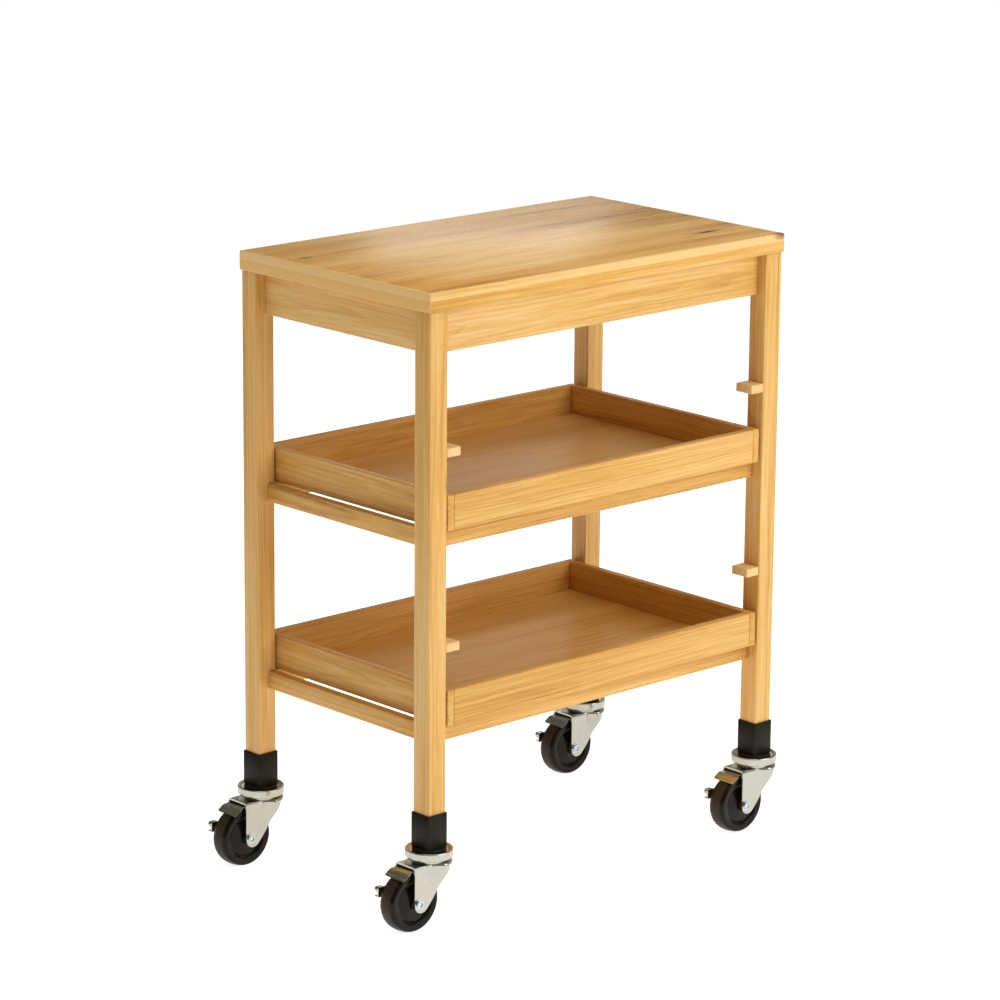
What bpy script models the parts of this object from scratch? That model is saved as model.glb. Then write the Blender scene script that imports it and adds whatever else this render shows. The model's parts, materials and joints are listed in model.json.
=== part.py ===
"""Rolling pantry cart: a solid wood top and square legs, two sliding wooden trays, four braked casters.

Frame: metres, +Z up, X along the cart's length, -Y the long front side that the trays slide out of.
The origin is on the floor, at the middle of the whole cart's box.
"""

import math

import bmesh
import bpy

# ---------------------------------------------------------------- driving sizes
LENGTH = 0.690  # over the legs' outer faces, along X
DEPTH = 0.405  # over the legs' outer faces, along Y
HEIGHT = 0.914  # floor to the worktop's upper face
LEG = 0.032  # side of the square legs
TOP_T = 0.028
TOP_OVERHANG = 0.0025
GAP = 0.0003  # left between pieces that touch
EASE = 0.0012  # rounded-over edges of the wooden pieces

APRON_H = 0.062
APRON_INSET = 0.0165  # apron face behind the leg face
RAIL_H = 0.026
RAIL_INSET = 0.0185
TIERS = {"upper": 0.5735, "lower": 0.2915}  # height of each pair of rails' upper edge

TRAY_H = {"upper": 0.0505, "lower": 0.0515}
TRAY_END_GAP = 0.004  # between a tray's end and the legs
TRAY_DEPTH = 0.402
TRAY_FRONT = {"upper": 0.0025, "lower": 0.0005}  # tray front behind the legs' front face
WALL_T = 0.012
FLOOR_T = 0.007

STOP_L = 0.025  # tray stops on the front legs, along X
STOP_H = 0.013
STOP_ABOVE = {"upper": 0.0555, "lower": 0.0570}  # above the tray's rim

SLEEVE_TOP = 0.1675
SLEEVE_BOTTOM = 0.117
SLEEVE_WALL = 0.0019
SLEEVE_FLOOR = 0.003
COLLAR_R = 0.0245
COLLAR_BOTTOM = 0.1128
COLLAR_SINK = 0.0008  # how far the collar reaches into the sleeve's floor

RACE_R = 0.0345
RACE_TOP = 0.1152
RACE_BOTTOM = 0.1030
RACE_STEP = 0.0012  # unit of the race's rolled edges
DISH_R = 0.0268  # floor of the race's dished top, under the collar
DISH_Z = 0.1125
KINGPIN_R = 0.006
KINGPIN_HEAD_R = 0.0100
KINGPIN_HEAD_Z = 0.0925
BOSS_R = 0.0255  # lower race, pressed up from the fork's deck
BOSS_EDGE = 0.0015

WHEEL_R = 0.0445
WHEEL_HALF = 0.0145
TRAIL = 0.0375  # wheel axle behind the swivel axis, towards -X
DECK_TOP = 0.0990
STEEL_T = 0.0024
FORK_HALF = 0.0210  # outer face of a fork cheek from the wheel's middle plane
FORK_CORNER = 0.0016  # bevel between the deck and the cheeks
EYE_R = 0.0130  # round lower end of the cheeks, with its middle a little ahead of the axle
EYE_X = -0.0318
EYE_Z = 0.0430
EYE_TURN = math.radians(43)  # where the round end runs into the cheek's rising edge
CHEEK_RISE = 1.05  # slope of that edge, and how fast it steepens towards the crown
CHEEK_CURL = 517.0
BOLT_R = 0.004
NUT_R = 0.0072
NUT_OUT = 0.0036
NUT_BEVEL = 0.0010

SHOE_R = 0.0357  # inner radius of the brake shoe, about a line over the axle
SHOE_Z = 0.0573
SHOE_T = 0.0018
SHOE_START = math.radians(90)
SHOE_END = math.radians(137)
SHOE_RINGS = 7
SHOE_NECK_RINGS = 3  # rings that lie between the cheeks
SHOE_PIVOT = (-0.0380, 0.0925)  # X and Z from the swivel axis and the floor

LEVER_PIVOT = (-0.0370, 0.0640)
LEVER_TIP = 0.0765  # lever tip behind the swivel axis
LEVER_T = 0.0020
LEVER_ROOT_R = 0.0075
LEVER_NECK = 0.0100  # from the pivot to where the lever's edges run straight
PAD_TOP = 0.0665
PAD_LOW = 0.0515
TAB_L = 0.0120
TAB_OUT = 0.0085

PIN_STEPS = 16
RING_STEPS = 24
WHEEL_STEPS = 28

# The casters reach further past the left legs than past the right ones, so the box has its middle here.
CENTRE_X = (LENGTH + RACE_R - TRAIL - WHEEL_R) / 2
CENTRE_Y = DEPTH / 2

SWIVELS = {
    "front_left": (LEG / 2, LEG / 2),
    "front_right": (LENGTH - LEG / 2, LEG / 2),
    "back_left": (LEG / 2, DEPTH - LEG / 2),
    "back_right": (LENGTH - LEG / 2, DEPTH - LEG / 2),
}


# ---------------------------------------------------------------- materials
def material(name, colour, roughness, metallic=0.0):
    found = bpy.data.materials.get(name)
    if found:
        return found
    made = bpy.data.materials.new(name)
    made.use_nodes = True
    shader = made.node_tree.nodes["Principled BSDF"]
    shader.inputs["Base Color"].default_value = (*colour, 1.0)
    shader.inputs["Roughness"].default_value = roughness
    shader.inputs["Metallic"].default_value = metallic
    made.diffuse_color = (*colour, 1.0)
    return made


def leg_wood():
    return material("leg_wood", (0.62, 0.38, 0.15), 0.45)


def top_wood():
    return material("top_wood", (0.60, 0.38, 0.17), 0.38)


def tray_wood():
    return material("tray_wood", (0.56, 0.31, 0.11), 0.45)


def black_steel():
    return material("black_steel", (0.022, 0.020, 0.016), 0.45)


def zinc_steel():
    return material("zinc_steel", (0.68, 0.67, 0.60), 0.32, 1.0)


def hard_rubber():
    return material("hard_rubber", (0.022, 0.018, 0.014), 0.40)


# ---------------------------------------------------------------- helpers
def clear_scene():
    for obj in list(bpy.data.objects):
        bpy.data.objects.remove(obj, do_unlink=True)


def add_object(name, bm, finish, place=(0.0, 0.0, 0.0), parent=None, smooth=False):
    bmesh.ops.recalc_face_normals(bm, faces=bm.faces)
    mesh = bpy.data.meshes.new(name)
    bm.to_mesh(mesh)
    bm.free()
    if smooth:
        mesh.shade_smooth()
        mesh.set_sharp_from_angle(angle=math.radians(32))
    mesh.materials.append(finish)
    obj = bpy.data.objects.new(name, mesh)
    bpy.context.scene.collection.objects.link(obj)
    obj.location = place
    obj.parent = parent
    return obj


def add_empty(name, place, parent=None):
    obj = bpy.data.objects.new(name, None)
    bpy.context.scene.collection.objects.link(obj)
    obj.location = place
    obj.parent = parent
    return obj


def combine(obj, operation, name, bm, place):
    """Adds a second solid to an object, or takes it away, with a Boolean modifier."""
    tool = add_object(f"{name}_of_{obj.name}", bm, zinc_steel(), place, obj.parent)
    tool.hide_render = True
    tool.display_type = "WIRE"
    mod = obj.modifiers.new(name, "BOOLEAN")
    mod.operation = operation
    mod.object = tool
    mod.solver = "EXACT"


def block(low, high):
    """A box between two corners, as a bmesh centred on its own middle, with that middle."""
    middle = [(a + b) / 2 for a, b in zip(low, high)]
    bm = bmesh.new()
    bmesh.ops.create_cube(bm, size=1.0)
    for vert in bm.verts:
        for axis in range(3):
            vert.co[axis] *= high[axis] - low[axis]
    return bm, middle


def board(name, low, high, finish, parent):
    """A wooden board between two corners, measured from the front left leg's outer corner."""
    bm, middle = block(low, high)
    obj = add_object(name, bm, finish, middle, parent)
    bevel = obj.modifiers.new("eased_edges", "BEVEL")
    bevel.width = EASE
    bevel.segments = 1


def loft(bm, rings):
    """Joins rings of the same number of points into one skin, and caps the first and the last."""
    made = [[bm.verts.new(point) for point in ring] for ring in rings]
    count = len(made[0])
    for first, second in zip(made, made[1:]):
        for i in range(count):
            j = (i + 1) % count
            bm.faces.new((first[i], first[j], second[j], second[i]))
    bm.faces.new(reversed(made[0]))
    bm.faces.new(made[-1])


def circle(radius, steps):
    points = []
    for i in range(steps):
        angle = 2 * math.pi * i / steps
        points.append((radius * math.cos(angle), radius * math.sin(angle)))
    return points


def disc_solid(sections, steps):
    """A solid of revolution about Z from (radius, height) sections, capped at both ends."""
    bm = bmesh.new()
    loft(bm, [[(x, y, height) for x, y in circle(radius, steps)] for radius, height in sections])
    return bm


def rod_solid(sections, steps):
    """A solid of revolution about Y from (radius, y) sections, capped at both ends."""
    bm = bmesh.new()
    loft(bm, [[(x, y, z) for x, z in circle(radius, steps)] for radius, y in sections])
    return bm


def ring_solid(profile, steps):
    """Turns a closed profile of (radius, y) points about Y."""
    bm = bmesh.new()
    rings = []
    for c, s in circle(1.0, steps):
        rings.append([bm.verts.new((radius * c, y, radius * s)) for radius, y in profile])
    count = len(profile)
    for i in range(steps):
        first, second = rings[i], rings[(i + 1) % steps]
        for j in range(count):
            k = (j + 1) % count
            bm.faces.new((first[j], first[k], second[k], second[j]))
    return bm


# ---------------------------------------------------------------- wooden frame
def make_worktop(root):
    low = (-TOP_OVERHANG, -TOP_OVERHANG, HEIGHT - TOP_T)
    high = (LENGTH + TOP_OVERHANG, DEPTH + TOP_OVERHANG, HEIGHT)
    board("worktop", low, high, top_wood(), root)


def make_legs(root):
    low_z = SLEEVE_BOTTOM + SLEEVE_FLOOR + GAP
    high_z = HEIGHT - TOP_T - GAP
    for corner, (x, y) in SWIVELS.items():
        low = (x - LEG / 2, y - LEG / 2, low_z)
        high = (x + LEG / 2, y + LEG / 2, high_z)
        board(f"leg_{corner}", low, high, leg_wood(), root)


def crosspieces(prefix, inset, low_z, high_z, root):
    """Four boards between the legs, their inner faces level with the legs' inner faces."""
    near, far_x, far_y = LEG + GAP, LENGTH - LEG - GAP, DEPTH - LEG - GAP
    spans = {
        "front": ((near, inset), (far_x, LEG)),
        "back": ((near, DEPTH - LEG), (far_x, DEPTH - inset)),
        "left": ((inset, near), (LEG, far_y)),
        "right": ((LENGTH - LEG, near), (LENGTH - inset, far_y)),
    }
    for side, (low, high) in spans.items():
        board(f"{prefix}_{side}", (*low, low_z), (*high, high_z), leg_wood(), root)


def make_stops(root):
    """Short blocks on the inner faces of the two front legs, over each tray's rim."""
    for tier, rail_top in TIERS.items():
        low_z = rail_top + TRAY_H[tier] + STOP_ABOVE[tier]
        left = LEG + GAP
        right = LENGTH - LEG - GAP - STOP_L
        for side, x in (("left", left), ("right", right)):
            low = (x, 0.0, low_z)
            high = (x + STOP_L, LEG, low_z + STOP_H)
            board(f"tray_stop_{tier}_{side}", low, high, leg_wood(), root)


# ---------------------------------------------------------------- trays
def make_tray(tier, root):
    bottom = TIERS[tier] + GAP
    top = bottom + TRAY_H[tier]
    left = LEG + TRAY_END_GAP
    right = LENGTH - LEG - TRAY_END_GAP
    front = TRAY_FRONT[tier]
    back = front + TRAY_DEPTH
    origin = ((left + right) / 2, (front + back) / 2, bottom)
    slide = add_empty(f"{tier}_tray_slide", origin, root)

    def piece(name, low, high):
        low = [a - b for a, b in zip(low, origin)]
        high = [a - b for a, b in zip(high, origin)]
        board(f"{tier}_tray_{name}", low, high, tray_wood(), slide)

    inner_left, inner_right = left + WALL_T + GAP, right - WALL_T - GAP
    piece("left_wall", (left, front, bottom), (left + WALL_T, back, top))
    piece("right_wall", (right - WALL_T, front, bottom), (right, back, top))
    piece("front_wall", (inner_left, front, bottom), (inner_right, front + WALL_T, top))
    piece("back_wall", (inner_left, back - WALL_T, bottom), (inner_right, back, top))
    floor_low = (inner_left, front + WALL_T + GAP, bottom)
    floor_high = (inner_right, back - WALL_T - GAP, bottom + FLOOR_T)
    piece("floor", floor_low, floor_high)


# ---------------------------------------------------------------- casters
def make_sleeve(corner, swivel):
    """Square steel socket over the leg's foot, closed below by its floor and a round collar."""
    inner = LEG / 2 + GAP
    outer = inner + SLEEVE_WALL

    def square(half, height):
        return [(-half, -half, height), (half, -half, height), (half, half, height), (-half, half, height)]

    bm = bmesh.new()
    loft(bm, [
        square(outer, SLEEVE_BOTTOM),
        square(outer, SLEEVE_TOP),
        square(inner, SLEEVE_TOP),
        square(inner, SLEEVE_BOTTOM + SLEEVE_FLOOR),
    ])
    sleeve = add_object(f"caster_sleeve_{corner}", bm, black_steel(), (0, 0, 0), swivel)
    collar = disc_solid([(COLLAR_R, COLLAR_BOTTOM), (COLLAR_R, SLEEVE_BOTTOM + COLLAR_SINK)], RING_STEPS)
    combine(sleeve, "UNION", "collar", collar, (0, 0, 0))


def make_race(corner, swivel):
    """Pressed upper race with the king pin that holds the fork below it."""
    deck_bottom = DECK_TOP - STEEL_T - GAP
    inner_z = RACE_BOTTOM + 0.8 * RACE_STEP
    sections = [
        (KINGPIN_HEAD_R - RACE_STEP, KINGPIN_HEAD_Z),
        (KINGPIN_HEAD_R, KINGPIN_HEAD_Z + RACE_STEP),
        (KINGPIN_HEAD_R, deck_bottom),
        (KINGPIN_R, deck_bottom),
        (KINGPIN_R, inner_z),
        (RACE_R - 4 * RACE_STEP, inner_z),
        (RACE_R - 3 * RACE_STEP, RACE_BOTTOM),
        (RACE_R - RACE_STEP, RACE_BOTTOM),
        (RACE_R, RACE_BOTTOM + RACE_STEP),
        (RACE_R, RACE_TOP - RACE_STEP),
        (RACE_R - RACE_STEP, RACE_TOP),
        (RACE_R - 3 * RACE_STEP, RACE_TOP),
        (DISH_R, DISH_Z),
    ]
    race = disc_solid(sections, WHEEL_STEPS)
    add_object(f"caster_race_{corner}", race, zinc_steel(), (0, 0, 0), swivel, True)


def cheek_bottom(x):
    """Height of a cheek's lower edge: round under the axle, then rising ever more steeply to the crown."""
    turn_x = EYE_X + EYE_R * math.sin(EYE_TURN)
    if x <= turn_x:
        return EYE_Z - math.sqrt(max(EYE_R**2 - (x - EYE_X) ** 2, 0.0))
    past = x - turn_x
    rising = EYE_Z - EYE_R * math.cos(EYE_TURN) + CHEEK_RISE * past + CHEEK_CURL * past**3
    return min(rising, DECK_TOP - 2 * STEEL_T)


def smooth_step(value, low, high):
    t = min(max((value - low) / (high - low), 0.0), 1.0)
    return t * t * (3 - 2 * t)


def cheek_half(x, z):
    """Outer half width of the fork: flat cheeks by the wheel, swelling to the round crown under the race."""
    crown = math.sqrt(max((RACE_R - 0.0010) ** 2 - x * x, 0.0))
    share = smooth_step(x, -0.018, 0.006) * smooth_step(z, 0.058, 0.092)
    if x > 0.0:
        share = max(share, smooth_step(x, 0.010, 0.024))
        return FORK_HALF + (crown - FORK_HALF) * share
    return FORK_HALF + max(crown - FORK_HALF, 0.0) * share


def fork_section(x, inset):
    """One U across the fork at x: up the front cheek, over the deck and down the back cheek."""
    low, high = cheek_bottom(x), DECK_TOP - inset
    points = []
    for i in range(5):
        z = low + (high - FORK_CORNER - low) * i / 4
        points.append((x, -(cheek_half(x, z) - inset), z))
    points.append((x, -(cheek_half(x, high) - inset - FORK_CORNER), high))
    return points + [(x, -y, z) for x, y, z in reversed(points)]


def make_fork(corner, swivel):
    """Pressed steel fork: deck, two cheeks and raised lower race, with holes for axle and king pin."""
    stations = [EYE_X - EYE_R * 0.9999]
    stations += [EYE_X - EYE_R * math.cos(math.pi * k / 8) for k in range(1, 6)]
    last = RACE_R - 0.0030
    stations += [stations[-1] + (last - stations[-1]) * k / 9 for k in range(1, 10)]
    bm = bmesh.new()
    loft(bm, [fork_section(x, 0.0) + fork_section(x, STEEL_T)[::-1] for x in stations])
    fork = add_object(f"caster_fork_{corner}", bm, zinc_steel(), (0, 0, 0), swivel, True)

    boss_top = RACE_BOTTOM - GAP
    boss = disc_solid([
        (BOSS_R, DECK_TOP - STEEL_T / 2),
        (BOSS_R, boss_top - BOSS_EDGE / 2),
        (BOSS_R - BOSS_EDGE, boss_top),
    ], RING_STEPS)
    combine(fork, "UNION", "lower_race", boss, (0, 0, 0))

    pin_r = KINGPIN_R + GAP
    pin_hole = disc_solid([(pin_r, DECK_TOP - 3 * STEEL_T), (pin_r, RACE_TOP)], PIN_STEPS)
    combine(fork, "DIFFERENCE", "king_pin_hole", pin_hole, (0, 0, 0))

    bolt_r = BOLT_R + GAP
    axle_hole = rod_solid([(bolt_r, -2 * FORK_HALF), (bolt_r, 2 * FORK_HALF)], PIN_STEPS)
    combine(fork, "DIFFERENCE", "axle_holes", axle_hole, (-TRAIL, 0, WHEEL_R))


def make_wheel(corner, swivel):
    """Hard rubber wheel, turned about Y: hub, web, rim and a slightly crowned tread."""
    hub_half = FORK_HALF - STEEL_T - GAP
    half = [
        (BOLT_R + GAP, hub_half),
        (0.0085, hub_half),
        (0.0100, 0.0110),
        (0.0285, 0.0090),
        (0.0315, 0.0125),
        (0.0405, WHEEL_HALF),
        (0.0431, 0.0128),
        (WHEEL_R, 0.0085),
    ]
    wheel = ring_solid(half + [(r, -y) for r, y in reversed(half)], WHEEL_STEPS)
    add_object(f"wheel_{corner}", wheel, hard_rubber(), (-TRAIL, 0, WHEEL_R), swivel, True)


def make_axle(corner, swivel):
    """Axle bolt with its hexagonal head and nut outside the cheeks."""
    start = FORK_HALF + GAP
    end = start + NUT_OUT
    sides = 6

    def hexagon(radius):
        corners = circle(radius, sides)
        middles = [((a + c) / 2, (b + d) / 2) for (a, b), (c, d) in zip(corners, corners[1:] + corners[:1])]
        return [point for pair in zip(corners, middles) for point in pair]

    shaft = circle(BOLT_R, 2 * sides)
    layers = [
        (hexagon(NUT_R - NUT_BEVEL), -end),
        (hexagon(NUT_R), -end + NUT_BEVEL),
        (hexagon(NUT_R), -start),
        (shaft, -start),
        (shaft, start),
        (hexagon(NUT_R), start),
        (hexagon(NUT_R), end - NUT_BEVEL),
        (hexagon(NUT_R - NUT_BEVEL), end),
    ]
    bm = bmesh.new()
    loft(bm, [[(x, y, z) for x, z in ring] for ring, y in layers])
    add_object(f"axle_bolt_{corner}", bm, zinc_steel(), (-TRAIL, 0, WHEEL_R), swivel, True)


def make_shoe(corner, swivel):
    """Bent plate over the tread, hinged under the deck, with a wide lip at its free end."""
    px, pz = SHOE_PIVOT
    neck_half = FORK_HALF - STEEL_T - 2 * GAP
    lip_half = FORK_HALF - GAP
    rings = []
    for i in range(SHOE_RINGS):
        angle = SHOE_START + (SHOE_END - SHOE_START) * i / (SHOE_RINGS - 1)
        half = neck_half if i < SHOE_NECK_RINGS else lip_half
        ring = []
        for radius, side in ((SHOE_R, -1), (SHOE_R, 1), (SHOE_R + SHOE_T, 1), (SHOE_R + SHOE_T, -1)):
            x = -TRAIL + radius * math.cos(angle)
            z = SHOE_Z + radius * math.sin(angle)
            ring.append((x - px, side * half, z - pz))
        rings.append(ring)
    bm = bmesh.new()
    loft(bm, rings)
    add_object(f"brake_shoe_{corner}", bm, zinc_steel(), (px, 0, pz), swivel, True)


def make_lever(corner, swivel):
    """Side lever outside the back cheek, with two toe tabs at its tip."""
    px, pz = LEVER_PIVOT
    y_in = FORK_HALF + GAP
    y_out = y_in + LEVER_T
    tip = -LEVER_TIP - px
    outline = []
    for k in range(7):
        angle = math.radians(-80 + 160 * k / 6)
        outline.append((LEVER_ROOT_R * math.cos(angle), LEVER_ROOT_R * math.sin(angle)))
    outline += [
        (-LEVER_NECK, PAD_TOP - pz),
        (tip, PAD_TOP - pz),
        (tip, PAD_LOW - pz),
        (-LEVER_NECK, PAD_LOW + LEVER_T - pz),
    ]
    bm = bmesh.new()
    loft(bm, [[(x, y_in, z) for x, z in outline], [(x, y_out, z) for x, z in outline]])
    lever = add_object(f"brake_lever_{corner}", bm, zinc_steel(), (px, 0, pz), swivel)
    for name, z in (("top_tab", PAD_TOP - LEVER_T), ("low_tab", PAD_LOW)):
        low = (px + tip, y_in + LEVER_T / 2, z)
        high = (px + tip + TAB_L, y_in + TAB_OUT, z + LEVER_T)
        tab, middle = block(low, high)
        combine(lever, "UNION", name, tab, middle)


def make_caster(corner, x, y, root):
    swivel = add_empty(f"swivel_{corner}", (x, y, 0.0), root)
    make_sleeve(corner, swivel)
    make_race(corner, swivel)
    make_fork(corner, swivel)
    make_wheel(corner, swivel)
    make_axle(corner, swivel)
    make_shoe(corner, swivel)
    make_lever(corner, swivel)


# ---------------------------------------------------------------- the cart
def main():
    clear_scene()
    root = add_empty("cart", (-CENTRE_X, -CENTRE_Y, 0.0))
    make_worktop(root)
    make_legs(root)
    apron_top = HEIGHT - TOP_T - GAP
    crosspieces("apron", APRON_INSET, apron_top - APRON_H, apron_top, root)
    for tier, rail_top in TIERS.items():
        crosspieces(f"rail_{tier}", RAIL_INSET, rail_top - RAIL_H, rail_top, root)
    make_stops(root)
    for tier in TIERS:
        make_tray(tier, root)
    for corner, (x, y) in SWIVELS.items():
        make_caster(corner, x, y, root)


main()
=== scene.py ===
"""Looks for the rolling pantry cart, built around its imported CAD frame.

Metres, +Z up, X along the cart's length, -Y the long front side. The origin is on the floor in the middle.
"""

import json
import math
import random
from collections import namedtuple

import bmesh
import bpy
from mathutils import Matrix, Vector


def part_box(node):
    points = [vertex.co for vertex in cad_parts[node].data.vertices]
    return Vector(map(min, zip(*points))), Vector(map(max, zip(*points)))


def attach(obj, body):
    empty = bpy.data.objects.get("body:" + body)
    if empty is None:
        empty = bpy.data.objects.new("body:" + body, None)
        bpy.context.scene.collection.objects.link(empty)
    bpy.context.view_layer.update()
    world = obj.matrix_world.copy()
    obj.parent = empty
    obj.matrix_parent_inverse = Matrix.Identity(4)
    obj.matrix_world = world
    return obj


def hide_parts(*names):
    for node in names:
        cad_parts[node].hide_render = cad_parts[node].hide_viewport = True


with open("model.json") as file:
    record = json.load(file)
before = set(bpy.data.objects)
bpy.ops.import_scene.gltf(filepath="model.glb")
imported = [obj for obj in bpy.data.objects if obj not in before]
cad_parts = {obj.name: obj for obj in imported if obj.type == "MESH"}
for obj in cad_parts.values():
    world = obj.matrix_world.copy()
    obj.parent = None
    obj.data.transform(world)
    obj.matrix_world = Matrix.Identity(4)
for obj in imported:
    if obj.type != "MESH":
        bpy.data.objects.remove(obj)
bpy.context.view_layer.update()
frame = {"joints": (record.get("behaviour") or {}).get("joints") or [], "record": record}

CORNERS = ("front_left", "front_right", "back_left", "back_right")
JOINTS = {joint["name"]: joint for joint in frame["joints"]}
BODY_OF = {node: body for body, nodes in frame["record"]["behaviour"]["bodies"].items() for node in nodes}
SLOT_OF = {part["node"]: part["material_slot"] for part in frame["record"]["subparts"]}


# ---------------------------------------------------------------- node building
class Tree:
    """Short calls for building one material's nodes."""

    def __init__(self, name):
        self.material = bpy.data.materials.new(name)
        self.material.use_nodes = True
        self.nodes = self.material.node_tree.nodes
        self.links = self.material.node_tree.links
        self.shader = self.nodes["Principled BSDF"]

    def put(self, socket, value):
        if isinstance(value, bpy.types.NodeSocket):
            self.links.new(value, socket)
        elif value is not None:
            socket.default_value = value

    def add(self, kind, **settings):
        node = self.nodes.new(kind)
        for key, value in settings.items():
            setattr(node, key, value)
        return node

    def math(self, operation, a, b=None, c=None):
        node = self.add("ShaderNodeMath", operation=operation)
        for socket, value in zip(node.inputs, (a, b, c)):
            self.put(socket, value)
        return node.outputs[0]

    def vector(self, operation, a, b=None):
        node = self.add("ShaderNodeVectorMath", operation=operation)
        self.put(node.inputs[0], a)
        self.put(node.inputs[1], b)
        return node.outputs["Value" if operation == "LENGTH" else "Vector"]

    def attribute(self, name):
        return self.add("ShaderNodeAttribute", attribute_name=name)

    def object_place(self):
        return self.add("ShaderNodeTexCoord").outputs["Object"]

    def noise(self, place, scale, detail=2.0, roughness=0.5):
        node = self.add("ShaderNodeTexNoise")
        self.put(node.inputs["Vector"], place)
        self.put(node.inputs["Scale"], scale)
        self.put(node.inputs["Detail"], detail)
        self.put(node.inputs["Roughness"], roughness)
        return node.outputs["Fac"]

    def grain(self, log, stretch, detail, roughness):
        """Noise with its own number of cycles per metre along the grain and across it."""
        return self.noise(self.vector("MULTIPLY", log, stretch), 1.0, detail, roughness)

    def span(self, value, low, high, to_low=0.0, to_high=1.0, smooth=True):
        node = self.add("ShaderNodeMapRange", interpolation_type="SMOOTHSTEP" if smooth else "LINEAR")
        for key, number in zip(("Value", "From Min", "From Max", "To Min", "To Max"),
                               (value, low, high, to_low, to_high)):
            self.put(node.inputs[key], number)
        return node.outputs["Result"]

    def ramp(self, value, stops):
        node = self.add("ShaderNodeValToRGB")
        elements = node.color_ramp.elements
        while len(elements) < len(stops):
            elements.new(0.5)
        for element, (position, colour) in zip(elements, stops):
            element.position = position
            element.color = (*colour, 1.0)
        self.put(node.inputs["Fac"], value)
        return node.outputs["Color"]

    def mix(self, share, a, b, blend="MIX"):
        node = self.add("ShaderNodeMix", data_type="RGBA", blend_type=blend)
        self.put(node.inputs[0], share)
        self.put(node.inputs[6], a)
        self.put(node.inputs[7], b)
        return node.outputs[2]

    def bump(self, height, strength, distance):
        node = self.add("ShaderNodeBump")
        self.put(node.inputs["Height"], height)
        self.put(node.inputs["Strength"], strength)
        self.put(node.inputs["Distance"], distance)
        self.links.new(node.outputs["Normal"], self.shader.inputs["Normal"])

    def surface(self, **values):
        for key, value in values.items():
            self.put(self.shader.inputs[key.replace("_", " ").title().replace("Ior", "IOR")], value)


# ---------------------------------------------------------------- wood
STRAW = (0.760, 0.515, 0.225)
GOLD = (0.650, 0.368, 0.088)
AMBER = (0.480, 0.234, 0.044)
BROWN = (0.215, 0.085, 0.020)
KNOT = (0.040, 0.015, 0.006)
WOOD_STOPS = ((0.16, STRAW), (0.52, GOLD), (0.86, AMBER), (1.0, BROWN))
WARM_TINT = (1.0, 0.97, 0.92)

# cycles per metre of each noise, along the grain and twice across it
WANDER = (1.7, 17.0, 17.0)
RIPPLE = (9.0, 60.0, 60.0)
BROAD = (2.2, 26.0, 26.0)
STREAK = (3.5, 210.0, 210.0)
FIBRE = (22.0, 1100.0, 1100.0)
PORE = (75.0, 1900.0, 1900.0)
WANDER_SWAY, RIPPLE_SWAY = 0.030, 0.0035  # how far the rings stray with them

# late wood darkens over its share of the year and stops short, in some years more than in others
LATE_RISE, LATE_FALL = (0.25, 0.90), (1.0, 0.93)
WEAKEST_YEAR = 0.35
PORE_CUT, PORE_SEASON, PORE_DARK = (0.60, 0.74), (0.55, 0.05), 0.34  # pores open early in the year

# how much each noise darkens the wood, the value that they vary about, and the finish
Figure = namedtuple("Figure", "broad streak fibre centre rough specular")
FRAME_FIGURE = Figure(broad=0.75, streak=0.85, fibre=0.55, centre=0.47, rough=0.36, specular=0.34)
TOP_FIGURE = Figure(broad=0.95, streak=0.95, fibre=0.70, centre=0.44, rough=0.20, specular=0.16)

# knots: middle, half size on each axis, how dark
LEG_KNOTS = (
    ((-0.2905, -0.2020, 0.640), (0.004, 0.004, 0.010), 0.75),
)
TOP_KNOTS = (
    ((0.3640, -0.2020, 0.9125), (0.026, 0.017, 0.012), 0.92),
    ((0.2900, -0.1250, 0.9140), (0.045, 0.008, 0.010), 0.97),
    ((-0.2900, 0.1000, 0.9140), (0.020, 0.007, 0.010), 0.85),
)
KNOT_RAGGED = 1.3  # the distances below are in the knot's own half sizes
KNOT_REACH = (2.6, 0.9)
KNOT_CORE = (1.7, 0.75)
KNOT_PUSH = 0.016  # how far the rings bend round a knot

TOP_LOW, TOP_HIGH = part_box("worktop")
TOP_MIDDLE_X, TOP_HALF_X = (TOP_LOW.x + TOP_HIGH.x) / 2, (TOP_HIGH.x - TOP_LOW.x) / 2
# the worktop's darker back right, heartwood with painted shade where the sheen falls off: a slant over X and
# Y, how far it strays with the broad noise, its edge, how much darker
HEART_SHADE_SLANT, HEART_SHADE_STRAY, HEART_SHADE_EDGE, HEART_SHADE_DARK = (0.55, 0.75), 0.55, (0.26, 0.60), 0.30
# painted shade at the worktop's left end, where the sheen falls off: how far it strays with the broad noise,
# its edge, how much darker
LEFT_SHADE_STRAY, LEFT_SHADE_EDGE, LEFT_SHADE_DARK = 0.30, (0.32, 0.50), 0.16
END_DEPTH = (0.0012, 0.0004)  # the end grain's calm look fades in between these depths
END_FIBRE, END_VALUE = 0.5, 0.12
PALE_BAND_Z = TOP_HIGH.z - 0.0115  # the pale band's lower limit
PALE_BAND_SOFT = 0.0004
PALE_BAND_WIDE, PALE_BAND_FULL = 0.0060, 0.0010
PALE_BAND_SHIFT = -0.52


def bend_round_knots(t, place, ripple, radius, knots):
    """The ring radius, pushed out at the knots, and how dark they make each point."""
    dark = None
    for middle, size, depth in knots:
        away = t.vector("SUBTRACT", place, middle)
        away = t.vector("LENGTH", t.vector("MULTIPLY", away, tuple(1.0 / s for s in size)))
        away = t.math("MULTIPLY_ADD", ripple, KNOT_RAGGED, away)
        radius = t.math("MULTIPLY_ADD", t.span(away, *KNOT_REACH), KNOT_PUSH, radius)
        core = t.math("MULTIPLY", t.span(away, *KNOT_CORE), depth)
        dark = core if dark is None else t.math("MAXIMUM", dark, core)
    return radius, dark


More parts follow.
